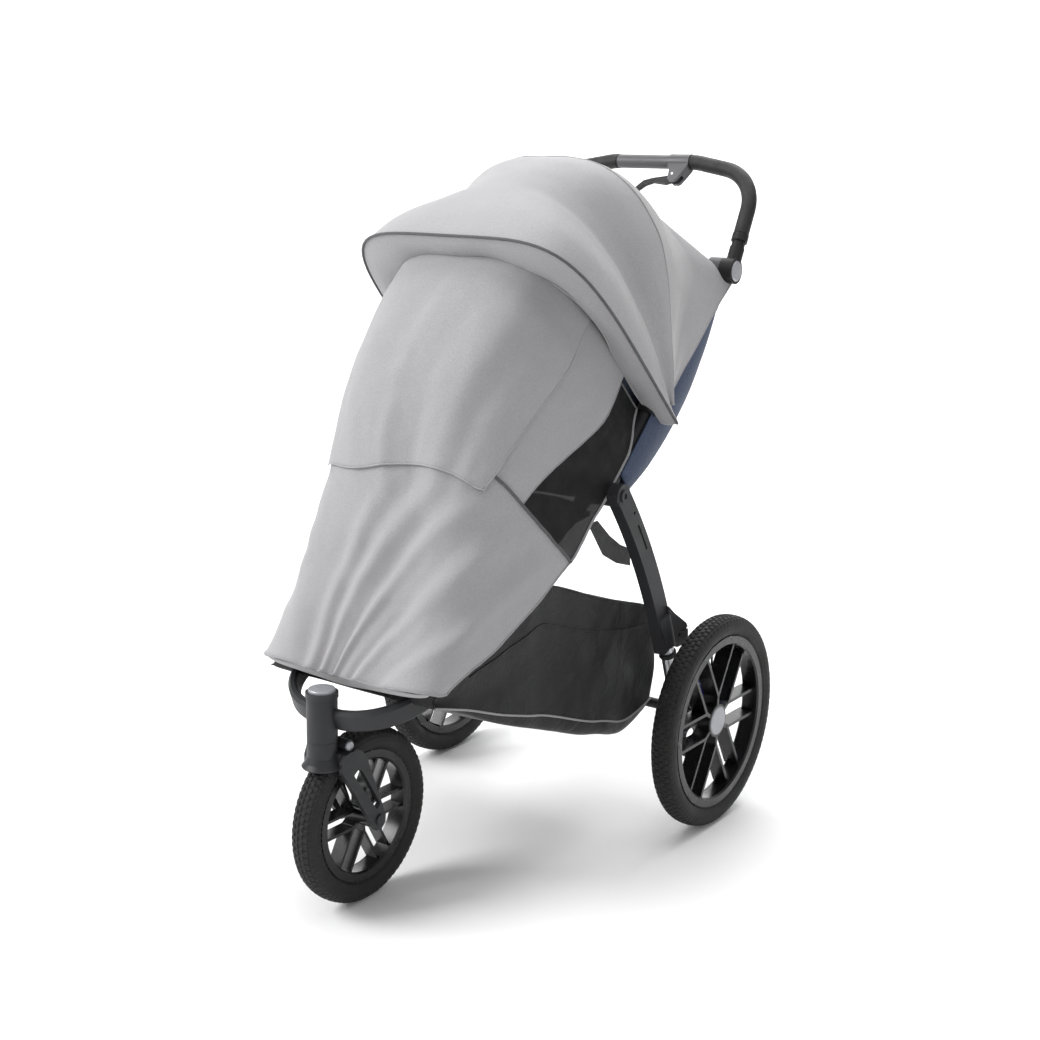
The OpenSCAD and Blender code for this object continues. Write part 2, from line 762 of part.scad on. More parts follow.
// Parallel pairs of blades from the rim inwards; where neighbours meet, one blade goes on to the hub
module spokes(hub_in, rim_in, apart, blade, depth) {
    meet = apart / sin(180 / spoke_pairs);
    for (k = [0:spoke_pairs - 1]) rotate([k * 360 / spoke_pairs, 0, 0]) {
        for (s = [-1, 1])
            translate([-depth + 9, meet * cos(180 / spoke_pairs) - blade / 2, s * apart - blade / 2])
                cube([depth, rim_in - meet * cos(180 / spoke_pairs) + blade / 2, blade]);
        rotate([180 / spoke_pairs, 0, 0]) translate([-depth + 9, hub_in - 4, -blade / 2 - 0.5])
            cube([depth - 0.5, meet - hub_in + 5, blade + 1]);
    }
}

module rim_ring(r_out, r_in, w) {
    rotate([0, 90, 0]) rotate_extrude($fn = 96)
        polygon([[r_in + 3, -w / 2], [r_out + 6, -w / 2], [r_out, -w / 2 + 5], [r_out, w / 2 - 5],
                 [r_out + 6, w / 2], [r_in + 3, w / 2], [r_in, w / 2 - 3], [r_in, -w / 2 + 3]]);
}

rear_rim_r = 158;

module rear_tyre(side) {
    at(rear_axle_p, side * wheel_x) tyre(rear_wheel_d / 2, rear_rim_r + 4.2, tyre_w);
}

module rear_rim(side) {
    color(black) at(rear_axle_p) on_side(side) translate([wheel_x, 0, 0]) difference() {
        union() {
            rim_ring(rear_rim_r - 2, rear_rim_r - 13, 36);
            spokes(29, rear_rim_r - 11, 24, 6, 30);
            translate([-37, 0, 0]) rotate([0, 90, 0]) cylinder(r = 24, h = 30);
            translate([-14, 0, 0]) rotate([0, 90, 0]) cylinder(r = 31, h = 23);
        }
        translate([-40, 0, 0]) rotate([0, 90, 0]) cylinder(r = stub_r + run, h = 60);
        translate([2, 0, 0]) rotate([0, 90, 0]) cylinder(r = 27.1, h = 20);
    }
}

// Cap of the rear hub, which is also the button of its quick release
module hub_cap(side) {
    color(silver) at(rear_axle_p) on_side(side) translate([wheel_x + 5.5, 0, 0]) rotate([0, 90, 0])
        rotate_extrude() polygon([[0, 0], [27, 0], [27, 4], [25.5, 5.5], [0, 6.5]]);
}

module brake_disc(side) {
    color(silver) at(rear_axle_p) on_side(side) translate([knuckle_x + 25.2, 0, 0]) difference() {
        rotate([0, 90, 0]) cylinder(d = disc_d, h = 1.8);
        translate([-1, 0, 0]) rotate([0, 90, 0]) cylinder(r = 14.5, h = 4);
        for (k = [0:5]) rotate([k * 60, 0, 0]) translate([-1, 40, 0]) rotate([0, 90, 0])
            cylinder(r = 14, h = 4);
        for (k = [0:23]) rotate([k * 15 + 5, 0, 0]) translate([-1, k % 2 == 0 ? 67 : 73, 0])
            rotate([0, 90, 0]) cylinder(r = 2.2, h = 4, $fn = 16);
    }
}

fork_gap = 33.2;

module front_tyre() {
    at(front_axle_p) tyre(front_wheel_d / 2, 112, tyre_w);
}

module front_rim() {
    color(black) at(front_axle_p) difference() {
        union() {
            rim_ring(106, 96, 34);
            spokes(17, 98, 15, 5, 26);
            translate([-fork_gap + 0.6, 0, 0]) rotate([0, 90, 0])
                cylinder(r = 17, h = 2 * fork_gap - 1.2);
        }
        translate([-50, 0, 0]) rotate([0, 90, 0]) cylinder(r = 6 + run, h = 100);
    }
}

// ---------- fork ----------

fork_t = 9;
crown_z = 276;

module fork_plate() {
    side_plate(fork_gap, fork_gap + fork_t) difference() {
        polygon([[swivel_y + 8, 286], [swivel_y + 2, 272], [swivel_y + 2, 256],
                 [front_axle_p[0] - 16, 144], [front_axle_p[0] - 10, 134], [front_axle_p[0] + 4, 131],
                 [front_axle_p[0] + 15, 140], [front_axle_p[0] + 16, 154],
                 [swivel_y + 66, 252], [swivel_y + 60, 270], [swivel_y + 48, 284], [swivel_y + 34, 290]]);
        polygon([[swivel_y + 28, 246], [swivel_y + 40, 254], [swivel_y + 50, 246],
                 [front_axle_p[0] + 2, 178], [front_axle_p[0] - 6, 170], [front_axle_p[0] - 12, 178]]);
    }
}

button_p = [swivel_y + 26, 296.4];

module fork() {
    color(dark_grey) difference() {
        union() {
            translate([0, swivel_y, crown_z - 14])
                cylinder(d = head_d, h = head_bottom - 0.4 - crown_z + 14);
            translate([0, swivel_y, crown_z - 14]) rotate_extrude()
                polygon([[0, 0], [33, 0], [34, 2], [29, 9], [24.6, 20], [0, 20]]);
            translate([0, swivel_y, crown_z]) cylinder(r = steerer_r, h = head_top - 2 - crown_z);
            both_sides() fork_plate();
            side_plate(-fork_gap - 1, fork_gap + 1) polygon([[swivel_y + 4, 288], [swivel_y + 4, 262],
                [swivel_y + 66, 262], [swivel_y + 58, 272], [swivel_y + 44, 286], [swivel_y + 30, 291]]);
            across(0, button_x + 3, 10, button_p);
        }
        across(-fork_gap - fork_t - 1, fork_gap + fork_t + 1, 6, front_axle_p);
        across(-24.5, 24.5, front_wheel_d / 2 + 6, front_axle_p);
        across(button_x - 4.5, button_x + 20, 8.6, button_p);
    }
}

button_x = 30;

// Button of the swivel lock, on the left of the crown
module swivel_button() {
    color(silver) at(button_p, button_x - 1) rotate([0, 90, 0])
        rotate_extrude() polygon([[0, 0], [8.5, 0], [8.5, 6.5], [7, 8], [0, 8.4]]);
}

module front_axle() {
    color(silver) {
        across(-fork_gap - fork_t, fork_gap + fork_t, 6, front_axle_p);
        both_sides() across(fork_gap + fork_t, fork_gap + fork_t + 3, 9, front_axle_p);
    }
}

// ---------- assembly ----------

head_tube();
head_cap();
front_arm(1);  // front_arm_left
front_arm(-1);  // front_arm_right
lower_tube(1);  // lower_tube_left
lower_tube(-1);  // lower_tube_right
foot_bar();
footrest();
fold_pins();
seat_pan();
seat_cushion();
harness_buckle();
seat_strap();
basket();
cover_flap();
cover_lower();
cover_window(1);  // cover_window_left
cover_window(-1);  // cover_window_right
upper_tube(1);  // upper_tube_left
upper_tube(-1);  // upper_tube_right
handle_hubs();
canopy_pivots();
seat_shell();
canopy_shell();
canopy_bow_front();
canopy_bow_middle();
backrest_board();
backrest_pad();
shoulder_straps();
handlebar_tube();
grips();
bar_sleeve();
handle_knuckles();
hub_button(1);  // hub_button_left
hub_button(-1);  // hub_button_right
lever_housing();
brake_lever();
lever_pin();
rear_leg(1);  // rear_leg_left
rear_leg(-1);  // rear_leg_right
leg_collars();
suspension_bumpers();
stanchions();
rear_axle();
calipers();
brake_cables();
parking_pedal();
rear_tyre(1);  // rear_tyre_left
rear_tyre(-1);  // rear_tyre_right
rear_rim(1);  // rear_rim_left
rear_rim(-1);  // rear_rim_right
brake_disc(1);  // brake_disc_left
brake_disc(-1);  // brake_disc_right
hub_cap(1);  // hub_cap_left
hub_cap(-1);  // hub_cap_right
fork();
front_axle();
swivel_button();
front_tyre();
front_rim();
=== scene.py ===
import json
import math

import bpy
import numpy as np
from mathutils import Matrix, Vector, noise


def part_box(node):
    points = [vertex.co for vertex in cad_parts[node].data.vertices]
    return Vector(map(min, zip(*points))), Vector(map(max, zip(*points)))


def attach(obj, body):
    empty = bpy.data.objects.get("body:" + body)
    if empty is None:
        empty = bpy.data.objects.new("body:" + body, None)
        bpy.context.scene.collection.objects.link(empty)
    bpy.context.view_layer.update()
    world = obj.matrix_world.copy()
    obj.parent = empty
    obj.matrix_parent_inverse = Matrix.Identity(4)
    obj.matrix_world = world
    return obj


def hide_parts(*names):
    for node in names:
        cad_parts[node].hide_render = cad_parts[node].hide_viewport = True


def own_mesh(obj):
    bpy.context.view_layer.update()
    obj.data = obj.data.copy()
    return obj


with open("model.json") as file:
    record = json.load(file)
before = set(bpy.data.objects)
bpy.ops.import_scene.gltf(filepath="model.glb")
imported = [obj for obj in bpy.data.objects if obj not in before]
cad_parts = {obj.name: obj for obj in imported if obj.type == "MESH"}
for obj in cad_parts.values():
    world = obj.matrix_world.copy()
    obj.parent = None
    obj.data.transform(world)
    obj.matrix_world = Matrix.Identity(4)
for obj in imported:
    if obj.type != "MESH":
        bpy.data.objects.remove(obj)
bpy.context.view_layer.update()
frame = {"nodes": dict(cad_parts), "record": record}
scene = bpy.context.scene
MM = 0.001

# ---------- camera ----------

CAMERA_AT = Vector((1.6256, -2.2243, 1.2223))
CAMERA_AZ, CAMERA_EL, CAMERA_ROLL = math.radians(35.31), math.radians(13.04), math.radians(1.01)


def make_camera():
    ca, sa, ce, se = (math.cos(CAMERA_AZ), math.sin(CAMERA_AZ), math.cos(CAMERA_EL),
                      math.sin(CAMERA_EL))
    back = Vector((sa * ce, -ca * ce, se))
    right0, up0 = Vector((ca, sa, 0)), Vector((-sa * se, ca * se, ce))
    right = right0 * math.cos(CAMERA_ROLL) + up0 * math.sin(CAMERA_ROLL)
    up = up0 * math.cos(CAMERA_ROLL) - right0 * math.sin(CAMERA_ROLL)
    data = bpy.data.cameras.new("camera")
    data.lens, data.sensor_width = 54.70, 36
    data.clip_start, data.clip_end = 0.05, 60
    cam = bpy.data.objects.new("camera", data)
    scene.collection.objects.link(cam)
    m = Matrix((right, up, back)).transposed().to_4x4()
    m.translation = CAMERA_AT
    cam.matrix_world = m
    scene.camera = cam


make_camera()

# ---------- materials ----------


class Shade:
    """A procedural material: a Principled shader and the nodes that feed it."""

    def __init__(self, name):
        self.mat = bpy.data.materials.new(name)
        self.mat.use_nodes = True
        self.tree = self.mat.node_tree
        self.shader = self.tree.nodes["Principled BSDF"]
        self.coord = self.add("ShaderNodeTexCoord").outputs["Object"]
        self.height = None

    def add(self, kind, **settings):
        n = self.tree.nodes.new(kind)
        for k, v in settings.items():
            setattr(n, k, v)
        return n

    def link(self, a, b):
        self.tree.links.new(a, b)

    def set(self, **values):
        for k, v in values.items():
            self.shader.inputs[k.replace("_", " ")].default_value = v
        return self

    def noise(self, scale, detail=4.0, rough=0.55, stretch=None, distortion=0.0):
        n = self.add("ShaderNodeTexNoise")
        n.inputs["Scale"].default_value = scale
        n.inputs["Detail"].default_value = detail
        n.inputs["Roughness"].default_value = rough
        n.inputs["Distortion"].default_value = distortion
        self.link(self.stretched(stretch), n.inputs["Vector"])
        return n.outputs["Fac"]

    def stretched(self, stretch):
        if stretch is None:
            return self.coord
        m = self.add("ShaderNodeMapping")
        m.inputs["Scale"].default_value = stretch[:3]
        if len(stretch) > 3:
            m.inputs["Rotation"].default_value = stretch[3:]
        self.link(self.coord, m.inputs["Vector"])
        return m.outputs["Vector"]

    def wave(self, scale, direction, distortion=0.6, stretch=None):
        n = self.add("ShaderNodeTexWave", bands_direction=direction)
        n.inputs["Scale"].default_value = scale
        n.inputs["Distortion"].default_value = distortion
        n.inputs["Detail Scale"].default_value = 3
        self.link(self.stretched(stretch), n.inputs["Vector"])
        return n.outputs["Fac"]

    def voronoi(self, scale):
        n = self.add("ShaderNodeTexVoronoi")
        n.inputs["Scale"].default_value = scale
        self.link(self.coord, n.inputs["Vector"])
        return n.outputs["Distance"]

    def math(self, op, a, b):
        n = self.add("ShaderNodeMath", operation=op)
        for i, x in enumerate((a, b)):
            if isinstance(x, (int, float)):
                n.inputs[i].default_value = x
            else:
                self.link(x, n.inputs[i])
        return n.outputs[0]

    def range(self, x, a, b, c, d):
        n = self.add("ShaderNodeMapRange")
        for i, v in enumerate((a, b, c, d)):
            n.inputs[i + 1].default_value = v
        self.link(x, n.inputs[0])
        return n.outputs[0]

    def colours(self, fac, stops):
        n = self.add("ShaderNodeValToRGB")
        ramp = n.color_ramp
        while len(ramp.elements) < len(stops):
            ramp.elements.new(0.5)
        for e, (at, c) in zip(ramp.elements, stops):
            e.position, e.color = at, (*c, 1)
        self.link(fac, n.inputs[0])
        return n.outputs[0]

    def mix(self, fac, a, b):
        n = self.add("ShaderNodeMix", data_type="RGBA")
        for i, x in ((0, fac), (6, a), (7, b)):
            if isinstance(x, (int, float)):
                n.inputs[i].default_value = x
            elif isinstance(x, tuple):
                n.inputs[i].default_value = (*x, 1)
            else:
                self.link(x, n.inputs[i])
        return n.outputs[2]

    def colour(self, x):
        self.link(x, self.shader.inputs["Base Color"])
        return self

    def rough(self, x, low, high):
        self.link(self.range(x, 0.3, 0.7, low, high), self.shader.inputs["Roughness"])
        return self

    def bump(self, x, distance, strength=1.0):
        n = self.add("ShaderNodeBump")
        n.inputs["Distance"].default_value = distance
        n.inputs["Strength"].default_value = strength
        self.link(x, n.inputs["Height"])
        if self.height is not None:
            self.link(self.height, n.inputs["Normal"])
        self.height = n.outputs[0]
        self.link(self.height, self.shader.inputs["Normal"])
        return self

    def weave(self, pitch, depth):
        """Over-and-under threads that cross, whichever way the face points."""
        k = WAVE_PER_M / pitch
        a = self.wave(k, "X", 0.3, (1, 1, 1, 0, 0, 0.3))
        b = self.wave(k, "Z", 0.3, (1, 1, 1, 0.5, 0.2, 0))
        threads = self.math("MAXIMUM", a, b)
        self.bump(threads, depth, 0.5)
        return threads


WAVE_PER_M = 0.314  # scale of a wave texture whose bands are one metre apart
EDGE_LIGHTENING = 1.5  # how much lighter the colour is made along sharp convex edges


def shift(c, k):
    return tuple(min(1.0, x * k) for x in c)


def cloth(name, colour, pitch=0.0009, sheen=0.3, rough=(0.72, 0.9), melange=0.06, wrinkle=0.0014,
          crease=34):
    s = Shade(name)
    threads = s.weave(pitch, 0.00025)
    wide = s.noise(5, 3)
    fine = s.noise(420, 2, 0.7)
    base = s.colours(wide, [(0.3, shift(colour, 1 - melange * 0.7)),
                            (0.7, shift(colour, 1 + melange * 0.7))])
    base = s.mix(s.range(fine, 0.35, 0.65, 0, 1), base, shift(colour, 1 - melange * 2.2))
    base = s.mix(s.range(threads, 0.0, 1.0, 0.16, 0.0), base, shift(colour, 0.6))
    s.colour(base).rough(fine, *rough)
    s.bump(s.noise(crease, 4, 0.55, None, 0.8), wrinkle, 0.5)
    s.set(Sheen_Weight=sheen, Sheen_Roughness=0.45, Specular_IOR_Level=0.25)
    return s.mat


def paint(name, colour, rough=(0.34, 0.46), grain=0.00012, coat=0.0):
    s = Shade(name)
    fine = s.noise(900, 3, 0.6)
    wide = s.noise(14, 4)
    edge = s.add("ShaderNodeNewGeometry").outputs["Pointiness"]
    base = s.mix(s.range(wide, 0.35, 0.7, 0, 1), shift(colour, 0.92), shift(colour, 1.08))
    # the colour is made lighter along sharp convex edges, found from the mesh's pointiness
    base = s.mix(s.range(edge, 0.53, 0.6, 0, 0.5), base, shift(colour, EDGE_LIGHTENING))
    s.colour(base).rough(wide, *rough).bump(fine, grain, 0.6)
    s.set(Coat_Weight=coat, Coat_Roughness=0.2, Specular_IOR_Level=0.35)
    return s.mat


def metal(name, colour, rough=(0.24, 0.38), stretch=(4, 300, 300)):
    s = Shade(name)
    lines = s.noise(3, 5, 0.7, stretch)
    s.colour(s.mix(s.range(lines, 0.3, 0.7, 0, 1), shift(colour, 0.85), shift(colour, 1.08)))
    s.rough(lines, *rough).bump(lines, 0.00008, 0.5)
    s.set(Metallic=1.0)
    return s.mat


def tyre_rubber():
    s = Shade("tyre_rubber_look")
    c = (0.007, 0.007, 0.0072)
    wide, fine = s.noise(30, 5), s.noise(700, 3, 0.7)
    s.colour(s.mix(s.range(wide, 0.35, 0.75, 0, 1), c, (0.019, 0.0187, 0.018)))
    s.rough(wide, 0.55, 0.78).bump(fine, 0.0002, 0.8)
    s.set(Specular_IOR_Level=0.35)
    return s.mat


def grip_leather():
    s = Shade("grip_look")
    cells = s.voronoi(650)
    s.colour(s.mix(s.range(cells, 0.0, 0.6, 0, 1), (0.011, 0.011, 0.011), (0.006, 0.006, 0.006)))
    s.rough(s.noise(60), 0.5, 0.66).bump(cells, 0.0004, 0.9).bump(s.noise(90, 3), 0.0006, 0.4)
    return s.mat


def webbing():
    s = Shade("webbing_look")
    ribs = s.wave(WAVE_PER_M / 0.0018, "DIAGONAL", 0.2)
    s.colour(s.mix(ribs, (0.006, 0.006, 0.006), (0.020, 0.020, 0.021)))
    s.rough(s.noise(90), 0.6, 0.8).bump(ribs, 0.0005, 0.9)
    s.set(Sheen_Weight=0.2)
    return s.mat


def mesh_net():
    """Fine net: dark threads with holes between them."""
    s = Shade("window_mesh_look")
    k = WAVE_PER_M / 0.0021
    across_the_window = (1, 1, 1, 0.5, 0.5, 0.78)
    a = s.wave(k, "X", 0.0, across_the_window)
    b = s.wave(k, "Y", 0.0, across_the_window)
    threads = s.math("MAXIMUM", a, b)
    s.link(s.range(threads, 0.45, 0.85, 0.95, 1.0), s.shader.inputs["Alpha"])
    s.colour(s.mix(threads, (0.004, 0.004, 0.004), (0.012, 0.012, 0.0125)))
    s.rough(s.noise(40), 0.5, 0.7).bump(threads, 0.0003, 0.8)
    s.set(Specular_IOR_Level=0.15)
    s.mat.surface_render_method = "DITHERED"
    return s.mat


def knurled(name, colour):
    s = Shade(name)
    cells = s.voronoi(480)
    s.colour(s.mix(s.range(cells, 0.0, 0.5, 0, 1), shift(colour, 1.1), shift(colour, 0.8)))
    s.rough(cells, 0.34, 0.5).bump(cells, 0.0005, 0.8)
    s.set(Metallic=0.6)
    return s.mat


GREY = (0.355, 0.35, 0.36)
LOOKS = {
    "frame_paint": paint("frame_paint_look", (0.019, 0.0195, 0.0215), (0.42, 0.55)),
    "black_plastic": paint("black_plastic_look", (0.008, 0.008, 0.0085), (0.42, 0.58), 0.0002),
    "grey_plastic": paint("grey_plastic_look", (0.075, 0.075, 0.080), (0.36, 0.5), 0.0002),
    "silver_plastic": knurled("silver_plastic_look", (0.42, 0.43, 0.46)),
    "stanchion_metal": metal("stanchion_look", (0.62, 0.63, 0.66)),
    "steel": metal("steel_look", (0.55, 0.55, 0.57)),
    "cover_fabric": cloth("cover_fabric_look", GREY),
    "window_mesh": mesh_net(),
    "seat_fabric": cloth("seat_fabric_look", (0.046, 0.068, 0.13), 0.0013, 0.15, melange=0.2),
    "basket_fabric": cloth("basket_fabric_look", (0.0095, 0.0095, 0.0098), 0.0022, 0.08,
                           (0.40, 0.55), 0.08, 0.006, 16),
    "webbing": webbing(),
    "grip_cover": grip_leather(),
    "tyre_rubber": tyre_rubber(),
    "bumper": paint("bumper_look", (0.27, 0.27, 0.05), (0.5, 0.7)),
    "caliper_paint": paint("caliper_look", (0.006, 0.036, 0.40), (0.25, 0.35)),
}
PIPING = cloth("piping_look", (0.11, 0.11, 0.115), 0.001, 0.1)
BINDING = cloth("binding_look", (0.30, 0.295, 0.305), 0.001, 0.2)
RIM_PLASTIC = paint("rim_look", (0.005, 0.005, 0.0055), (0.22, 0.34), 0.00008, coat=0.12)
DISC = metal("disc_look", (0.5, 0.5, 0.52), (0.2, 0.3), (60, 60, 60))

for sub in frame["record"]["subparts"]:
    o = frame["nodes"][sub["node"]]
    look = LOOKS[sub["material_slot"]]
    if "_rim" in sub["node"]:
        look = RIM_PLASTIC
    elif "disc" in sub["node"]:
        look = DISC
    o.data.materials.clear()
    o.data.materials.append(look)

# ---------- mesh helpers ----------


def new_mesh(name, verts, faces, look):
    me = bpy.data.meshes.new(name)
    me.from_pydata([tuple(v) for v in verts], [], faces)
    me.validate()
    me.materials.append(look)
    me.polygons.foreach_set("use_smooth", [True] * len(me.polygons))
    o = bpy.data.objects.new(name, me)
    scene.collection.objects.link(o)
    return o


def grid(name, pts, look, thick=0.0012, close_rows=False, close_cols=False, level=1):
    """A sheet through a grid of points in millimetres, as rows of columns."""
    pts = np.asarray(pts, float) * MM
    n, m = pts.shape[:2]
    faces = []
    for i in range(n if close_rows else n - 1):
        for j in range(m if close_cols else m - 1):
            a, b = i * m + j, i * m + (j + 1) % m
            c, d = ((i + 1) % n) * m + (j + 1) % m, ((i + 1) % n) * m + j
            faces.append((a, b, c, d))
    o = new_mesh(name, pts.reshape(-1, 3), faces, look)
    if thick:
        s = o.modifiers.new("thick", "SOLIDIFY")
        s.thickness, s.offset = thick, 0
    if level:
        s = o.modifiers.new("soft", "SUBSURF")
        s.levels = s.render_levels = level
    return o


def tube(name, pts, radius, look, sides=10, flat=1.0):
    """A round or flattened tube, closed at both ends, along points in millimetres."""
    p = np.asarray(pts, float)
    t = np.gradient(p, axis=0)
    t /= np.linalg.norm(t, axis=1)[:, None] + 1e-12
    up = np.array([0.3, 0.2, 1.0])
    verts, normal = [], None
    for i in range(len(p)):
        if normal is None:
            normal = np.cross(t[i], up)
        normal = normal - t[i] * (normal @ t[i])
        normal /= np.linalg.norm(normal) + 1e-12
        other = np.cross(t[i], normal)
        for k in range(sides):
            a = 2 * math.pi * k / sides
            verts.append(p[i] + radius * (normal * math.cos(a) + other * flat * math.sin(a)))
    n = len(p)
    faces = []
    for i in range(n - 1):
        for k in range(sides):
            a, b = i * sides + k, i * sides + (k + 1) % sides
            faces.append((a, b, b + sides, a + sides))
    faces += [tuple(range(sides))[::-1], tuple(range((n - 1) * sides, n * sides))]
    return new_mesh(name, np.array(verts) * MM, faces, look)


def spline(points, n):
    """n points, evenly spaced, along a smooth line through the points."""
    p = np.array(points, float)
    p = np.vstack([2 * p[0] - p[1], p, 2 * p[-1] - p[-2]])
    out = []
    for i in range(1, len(p) - 2):
        for u in np.linspace(0, 1, 24, endpoint=False):
            a, b, c, d = p[i - 1:i + 3]
            out.append(0.5 * (2 * b + (c - a) * u + (2 * a - 5 * b + 4 * c - d) * u * u
                              + (3 * b - a - 3 * c + d) * u ** 3))
    out.append(p[-2])
    out = np.array(out)
    s = np.concatenate([[0], np.cumsum(np.linalg.norm(np.diff(out, axis=0), axis=1))])
    at = np.linspace(0, s[-1], n)
    return np.stack([np.interp(at, s, out[:, k]) for k in range(out.shape[1])], axis=1)


def smooth(x, a, b):
    t = np.clip((x - a) / (b - a), 0, 1)
    return t * t * (3 - 2 * t)


def wobble(p, scale, seed):
    """Smooth noise from about -1 to 1 at a point in millimetres."""
    return noise.noise(Vector((p[0] * scale + seed, p[1] * scale, p[2] * scale)))


def polar(r, deg):
    return np.array([r * math.cos(math.radians(deg)), r * math.sin(math.radians(deg))])


def arch_radius(w, r, n, a):
    return ((abs(math.cos(a)) / w) ** n + (abs(math.sin(a)) / r) ** n) ** (-1 / n)


def arch_point(base, crown, w, n, deg):
    """A point at an angle of an arch that stands across the stroller on a side-view point."""
    base, crown = np.array(base, float), np.array(crown, float)
    span = np.linalg.norm(crown - base)
    direction = (crown - base) / span
    a = math.radians(deg)
    rho = arch_radius(w, span, n, a)
    p = base + direction * rho * math.sin(a)
    return np.array([rho * math.cos(a), p[0], p[1]])


def normals(pts, toward):
    """Unit normals of a grid of points, on the side where the middle one points toward a direction."""
    du, dv = np.gradient(pts, axis=0), np.gradient(pts, axis=1)
    n = np.cross(du, dv)
    n /= np.linalg.norm(n, axis=2)[..., None] + 1e-9
    middle = n[n.shape[0] // 2, n.shape[1] // 2]
    return -n if middle @ np.array(toward) < 0 else n


# ---------- canopy ----------

# Side view, as (along, up) in millimetres: the canopy's pivots, the fold joint, the handlebar's hubs
PIVOT, FOLD, HUB = np.array([181.0, 785.0]), np.array([42.0, 653.0]), np.array([411.0, 1018.0])
UP_DIR = (HUB - FOLD) / np.linalg.norm(HUB - FOLD)
RIM, REAR = 136.4, 52.0  # degrees round the pivots of the canopy's front and rear edges
RIM_W, RIM_N = 252, 5.2  # half width and squareness of the rim's arch
RIM_R, REAR_R = 450, 352  # distance from the pivots to the top of the arch, at the rim and at the rear
RIM_ANGLES = np.linspace(-6, 186, 97)
CANOPY_ROWS, CANOPY_COLS = 41, 91
RIDGE_ROW, REAR_SEAM_ROW = 20, 37
SIDE_LEAN = 11  # degrees that the rear edge leans further back at the sides, over the tubes
HUB_CORNER = (234, 424, 1006)  # where the rear corners are drawn to, in millimetres
CORNER_ANGLE, CORNER_SPREAD = 56, 16
RIM_BASE = PIVOT + polar(8, RIM + 90)


def between(t, values):
    """A soft line through values at t = 0, 0.25, 0.5, 0.75 and 1."""
    return sum(np.interp(t + d, (0, 0.25, 0.5, 0.75, 1), values) * k
               for d, k in ((-0.07, 0.25), (0, 0.5), (0.07, 0.25)))


def canopy_point(t, deg):
    """A point of the canopy: t runs from the front rim to the back, deg round the arch."""
    lift = math.sin(math.radians(deg))
    r = RIM_R + (REAR_R - RIM_R) * t + between(t, (0, 2, 38.5, 25, 0))
    w = between(t, (RIM_W, 241, 249, 234, 223))
    n = between(t, (RIM_N, 1.95, 3.0, 1.95, 4.0))
    d = arch_radius(w, r, n, math.radians(deg)) * lift
    rear = REAR - SIDE_LEAN * (1 - smooth(d, 225, 292)) * smooth(t, 0.5, 1)
    a = RIM - t * (RIM - rear)
    base = PIVOT + (RIM_BASE - PIVOT) * (1 - smooth(t, 0, 0.08))
    p = arch_point(base, base + polar(r, a), w, n, deg)
    side = 1 if deg < 90 else -1
    from_corner = (deg if deg < 90 else 180 - deg) - CORNER_ANGLE
    pull = t ** 4.1 * math.exp(-(from_corner / CORNER_SPREAD) ** 2) * smooth(t, 0.4, 0.5)
    x, y, z = HUB_CORNER
    return p + (np.array([side * x, y, z]) - p) * pull


def canopy_edge(t):
    """Lowest angle of the canopy's side at t."""
    return -6 + 9 * smooth(t, 0.0, 0.25)


def make_canopy():
    along = np.linspace(0, 1, CANOPY_ROWS)
    rows = []
    for t in along:
        e = canopy_edge(t)
        rows.append([canopy_point(t, d) for d in np.linspace(e, 180 - e, CANOPY_COLS)])
    pts = np.array(rows)
    out = normals(pts, (0, -0.3, 1))
    for i, t in enumerate(along):
        for j in range(CANOPY_COLS):
            p = pts[i, j]
            low = 1 - smooth(p[2], 780, 980)
            gathers = 1.6 * math.sin(t * 22 + 0.004 * p[2]) * low * smooth(t, 0, 0.1) * smooth(1 - t, 0, 0.1)
            soft = 2.6 * wobble(p, 0.012, 3) + 1.0 * wobble(p, 0.03, 9)
            pts[i, j] = p + out[i, j] * (gathers + soft * smooth(t, 0, 0.06))
    return grid("canopy_cloth", pts, LOOKS["cover_fabric"], 0.0014), pts


canopy, canopy_pts = make_canopy()
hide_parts("canopy_shell")

# Lower edge of the lip, from one side to the other in the rim's plane: across, out from the pivots
LIP_EDGE = [(-211, -29), (-197, 39), (-198, 160), (-203, 220), (-189, 296), (-146, 360), (-75, 392),
            (0, 403), (75, 392), (146, 360), (189, 296), (203, 220), (198, 160), (197, 39), (211, -29)]


def in_rim_plane(x, d):
    y, z = RIM_BASE + polar(d, RIM)
    return np.array([x, y, z])


lip_line = np.array([in_rim_plane(x, d) for x, d in spline(LIP_EDGE, len(RIM_ANGLES))])
rim_line = np.array([canopy_point(0, d) for d in RIM_ANGLES])


def make_lip():
    last = len(RIM_ANGLES) - 1
    rows = []
    for v in np.linspace(0, 1, 9):
        row = []
        for j, (outer, low) in enumerate(zip(rim_line, lip_line[::-1])):
            ruffle = 3 * v * math.sin(j * 0.55) * math.sin(math.pi * j / last)
            y, z = polar(5 * math.sin(math.pi * v) + ruffle, RIM + 90)
            row.append(outer + (low - outer) * v + np.array([0, y, z]))
        rows.append(row)
    o = grid("canopy_lip", rows, LOOKS["cover_fabric"], 0.0016)
    return o


